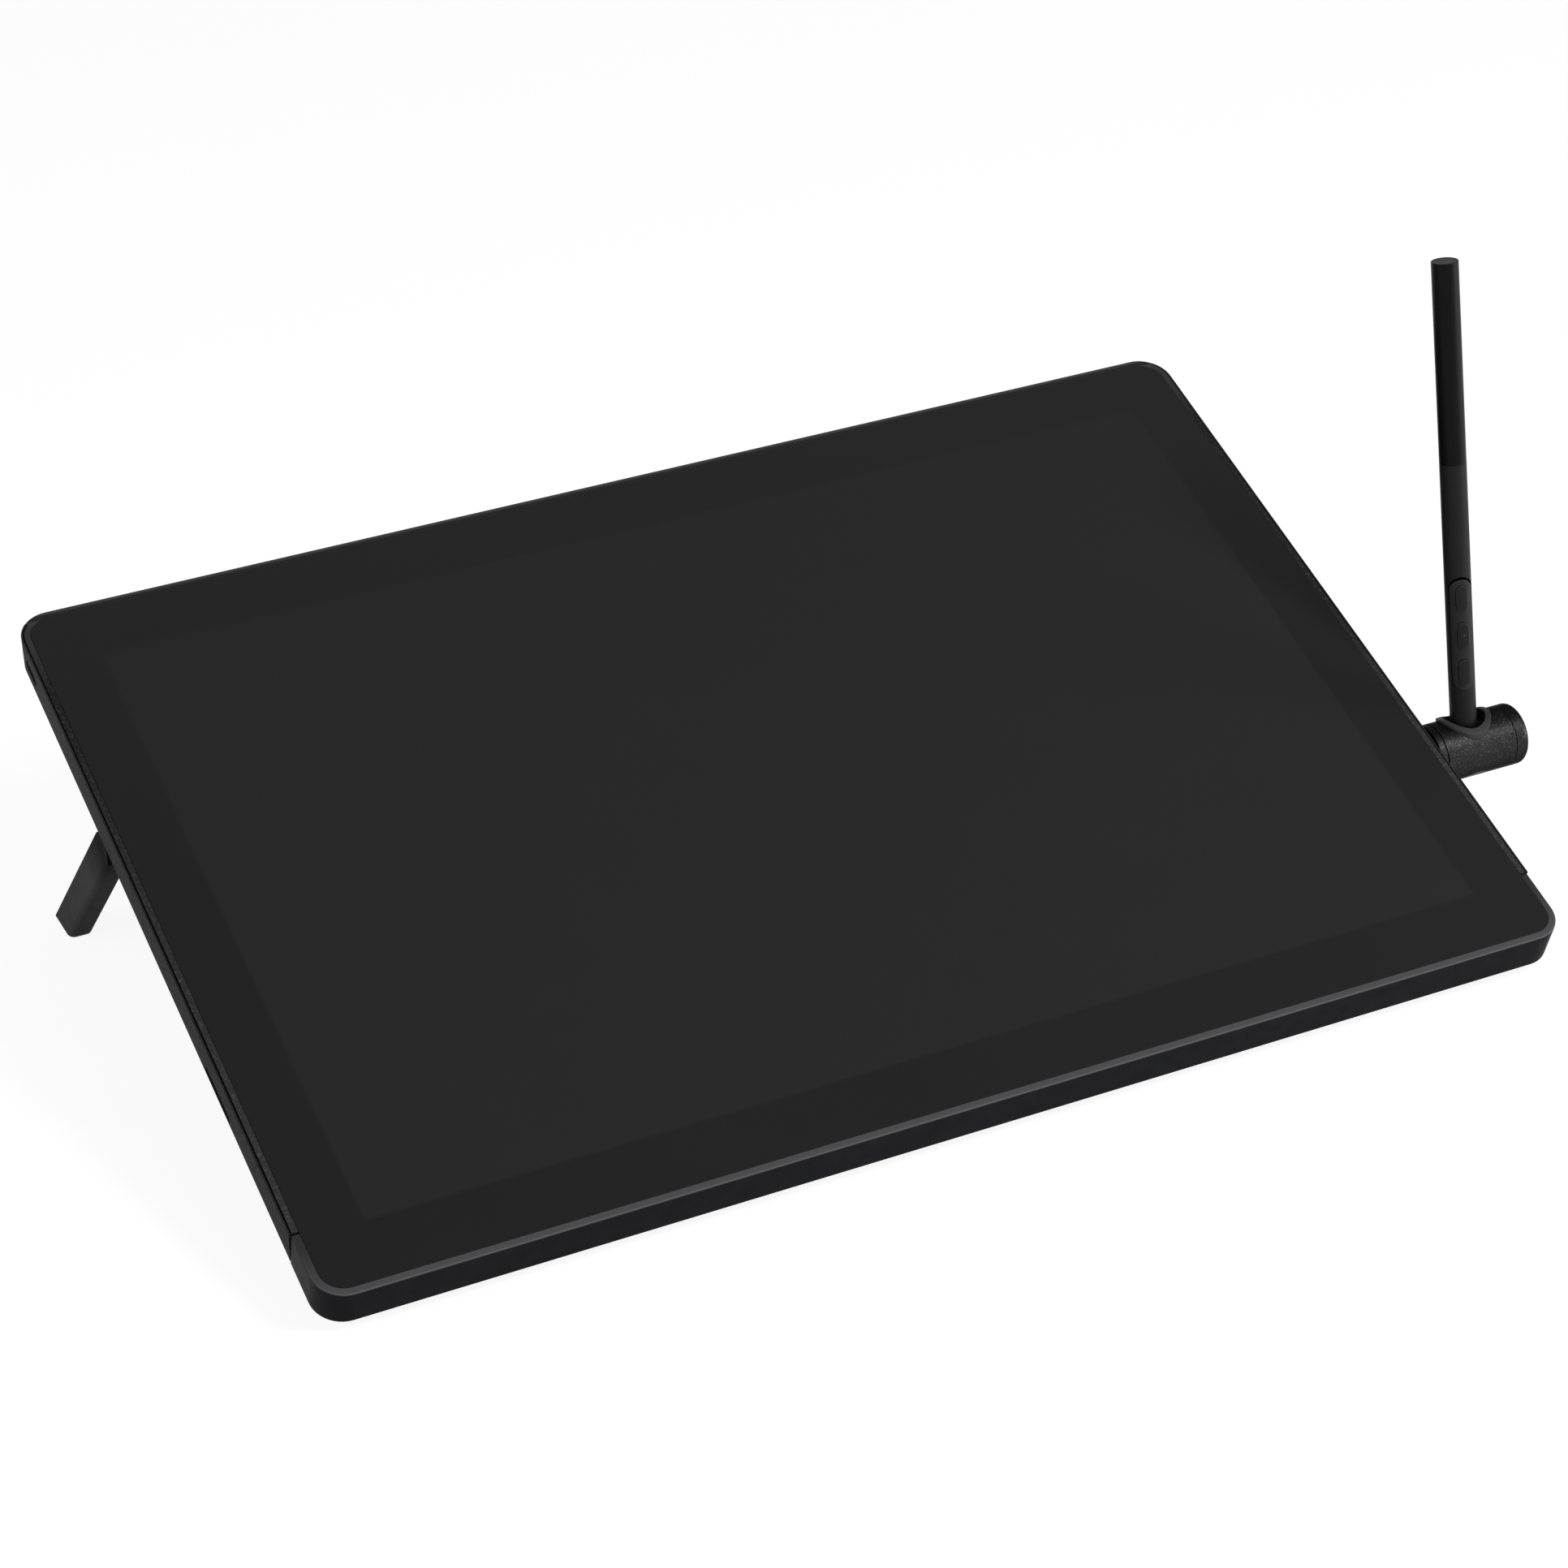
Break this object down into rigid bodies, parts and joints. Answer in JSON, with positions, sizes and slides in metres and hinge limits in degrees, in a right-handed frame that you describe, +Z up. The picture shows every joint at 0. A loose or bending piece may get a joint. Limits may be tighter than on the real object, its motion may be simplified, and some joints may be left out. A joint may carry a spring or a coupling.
{
  "type": "graphics tablet with screen",
  "caption": "Flat pen display with dark glass in a thin rounded frame, tilted on folding side legs, with a pen standing in a turning round holder on its right side.",
  "frame": {"origin": "on the desk, under the middle of the whole object's box", "axes": "+X to the user's right along the tablet's width, +Y away from the user, +Z up"},
  "size_m": [0.4172, 0.2462, 0.1847],
  "materials": {
    "screen_glass": "gloss glass over a screen that is off",
    "clear_bond": "clear",
    "gasket": "matt foam tape",
    "panel_glass": "dark glass",
    "film": "milky",
    "acrylic": "clear",
    "led": "yellow phosphor",
    "sheet_metal": "plain sheet",
    "circuit_board": "solder mask",
    "chip": "moulded",
    "flex": "amber film",
    "frame_metal": "dark satin anodised",
    "rail_plastic": "coarse grain",
    "cover_plastic": "fine grain",
    "screw_steel": "blackened",
    "bright_steel": "plain",
    "rubber": "matt",
    "insert_brass": "knurled insert",
    "leg_metal": "smooth satin",
    "holder_metal": "satin with a fine sparkle",
    "liner": "soft matt",
    "pen_grey": "soft matt",
    "pen_black": "satin",
    "pen_tail": "grey end",
    "nib": "hard plastic",
    "white_plastic": "moulded",
    "ferrite": "sintered",
    "copper": "enamelled wire"
  },
  "bodies": {
    "tablet": {"cover_glass": "screen_glass", "optical_bond": "clear_bond", "glass_gasket": "gasket", "lcd_panel": "panel_glass", "film_stack": "film", "light_guide": "acrylic", "led_bar": "led", "reflector_sheet": "film", "backlight_tray": "sheet_metal", "sensor_board": "circuit_board", "shield_plate": "sheet_metal", "mid_frame": "frame_metal", "left_side_rail": "rail_plastic", "right_side_rail": "rail_plastic", "rear_cover": "cover_plastic", "cover_screws": "screw_steel", "rubber_feet": "rubber", "rear_mount_inserts": "insert_brass", "main_board": "circuit_board", "board_chips": "chip", "heat_spreader": "sheet_metal", "board_screws": "bright_steel", "panel_flex": "flex", "sensor_flex": "flex", "port_boards": "circuit_board", "usb_sockets": "bright_steel", "power_switch": "chip", "hinge_washers": "bright_steel", "holder_bracket": "holder_metal", "bracket_screw": "screw_steel", "holder_washer": "bright_steel", "holder_screw": "bright_steel"},
    "power_button": {"power_button": "cover_plastic"},
    "left_leg": {"left_leg": "leg_metal", "left_leg_tip": "rubber", "left_hinge_pin": "bright_steel"},
    "right_leg": {"right_leg": "leg_metal", "right_leg_tip": "rubber", "right_hinge_pin": "bright_steel"},
    "pen_holder": {"holder_body": "holder_metal", "holder_liner": "liner", "spare_nibs": "nib"},
    "holder_cap": {"holder_cap": "holder_metal", "nib_puller": "bright_steel"},
    "pen": {"pen_front_barrel": "pen_grey", "pen_rear_barrel": "pen_black", "pen_tail_cap": "pen_tail", "pen_switch_plate": "pen_grey", "pen_ferrite": "ferrite", "pen_coil": "copper", "pen_pressure_sensor": "white_plastic", "pen_inner_frame": "white_plastic", "pen_board": "circuit_board"},
    "pen_button_front": {"pen_button_front": "pen_grey"},
    "pen_button_middle": {"pen_button_middle": "pen_grey"},
    "pen_button_rear": {"pen_button_rear": "pen_grey"},
    "pen_nib": {"pen_nib": "nib", "pen_plunger": "white_plastic"}
  },
  "joints": [
    {"name": "left_leg_fold", "type": "hinge", "parent": "tablet", "child": "left_leg", "pos_m": [-0.20375, 0.05149, 0.05975], "axis": [1, 0, 0], "range_deg": [-116.2, 0]},
    {"name": "right_leg_fold", "type": "hinge", "parent": "tablet", "child": "right_leg", "pos_m": [0.17165, 0.05149, 0.05975], "axis": [1, 0, 0], "range_deg": [-116.2, 0]},
    {"name": "power_button_press", "type": "slide", "parent": "tablet", "child": "power_button", "axis": [0, -0.9397, -0.342], "range_m": [0, 0.0005], "stiffness_N_per_m": 1500},
    {"name": "holder_turn", "type": "hinge", "parent": "tablet", "child": "pen_holder", "pos_m": [0.19095, -0.04491, 0.03398], "axis": [1, 0, 0], "range_deg": [-60, 60]},
    {"name": "cap_pull", "type": "slide", "parent": "pen_holder", "child": "holder_cap", "axis": [1, 0, 0], "range_m": [0, 0.01]},
    {"name": "pen_lift", "type": "slide", "parent": "pen_holder", "child": "pen", "axis": [0, 0.1547, 0.988], "range_m": [0, 0.03]},
    {"name": "pen_button_front_press", "type": "slide", "parent": "pen", "child": "pen_button_front", "axis": [0.309, 0.9396, -0.1471], "range_m": [0, 0.00035], "stiffness_N_per_m": 1500},
    {"name": "pen_button_middle_press", "type": "slide", "parent": "pen", "child": "pen_button_middle", "axis": [0.309, 0.9396, -0.1471], "range_m": [0, 0.00035], "stiffness_N_per_m": 1500},
    {"name": "pen_button_rear_press", "type": "slide", "parent": "pen", "child": "pen_button_rear", "axis": [0.309, 0.9396, -0.1471], "range_m": [0, 0.00035], "stiffness_N_per_m": 1500},
    {"name": "nib_press", "type": "slide", "parent": "pen", "child": "pen_nib", "axis": [0, 0.1547, 0.988], "range_m": [0, 0.0004], "stiffness_N_per_m": 1500}
  ]
}
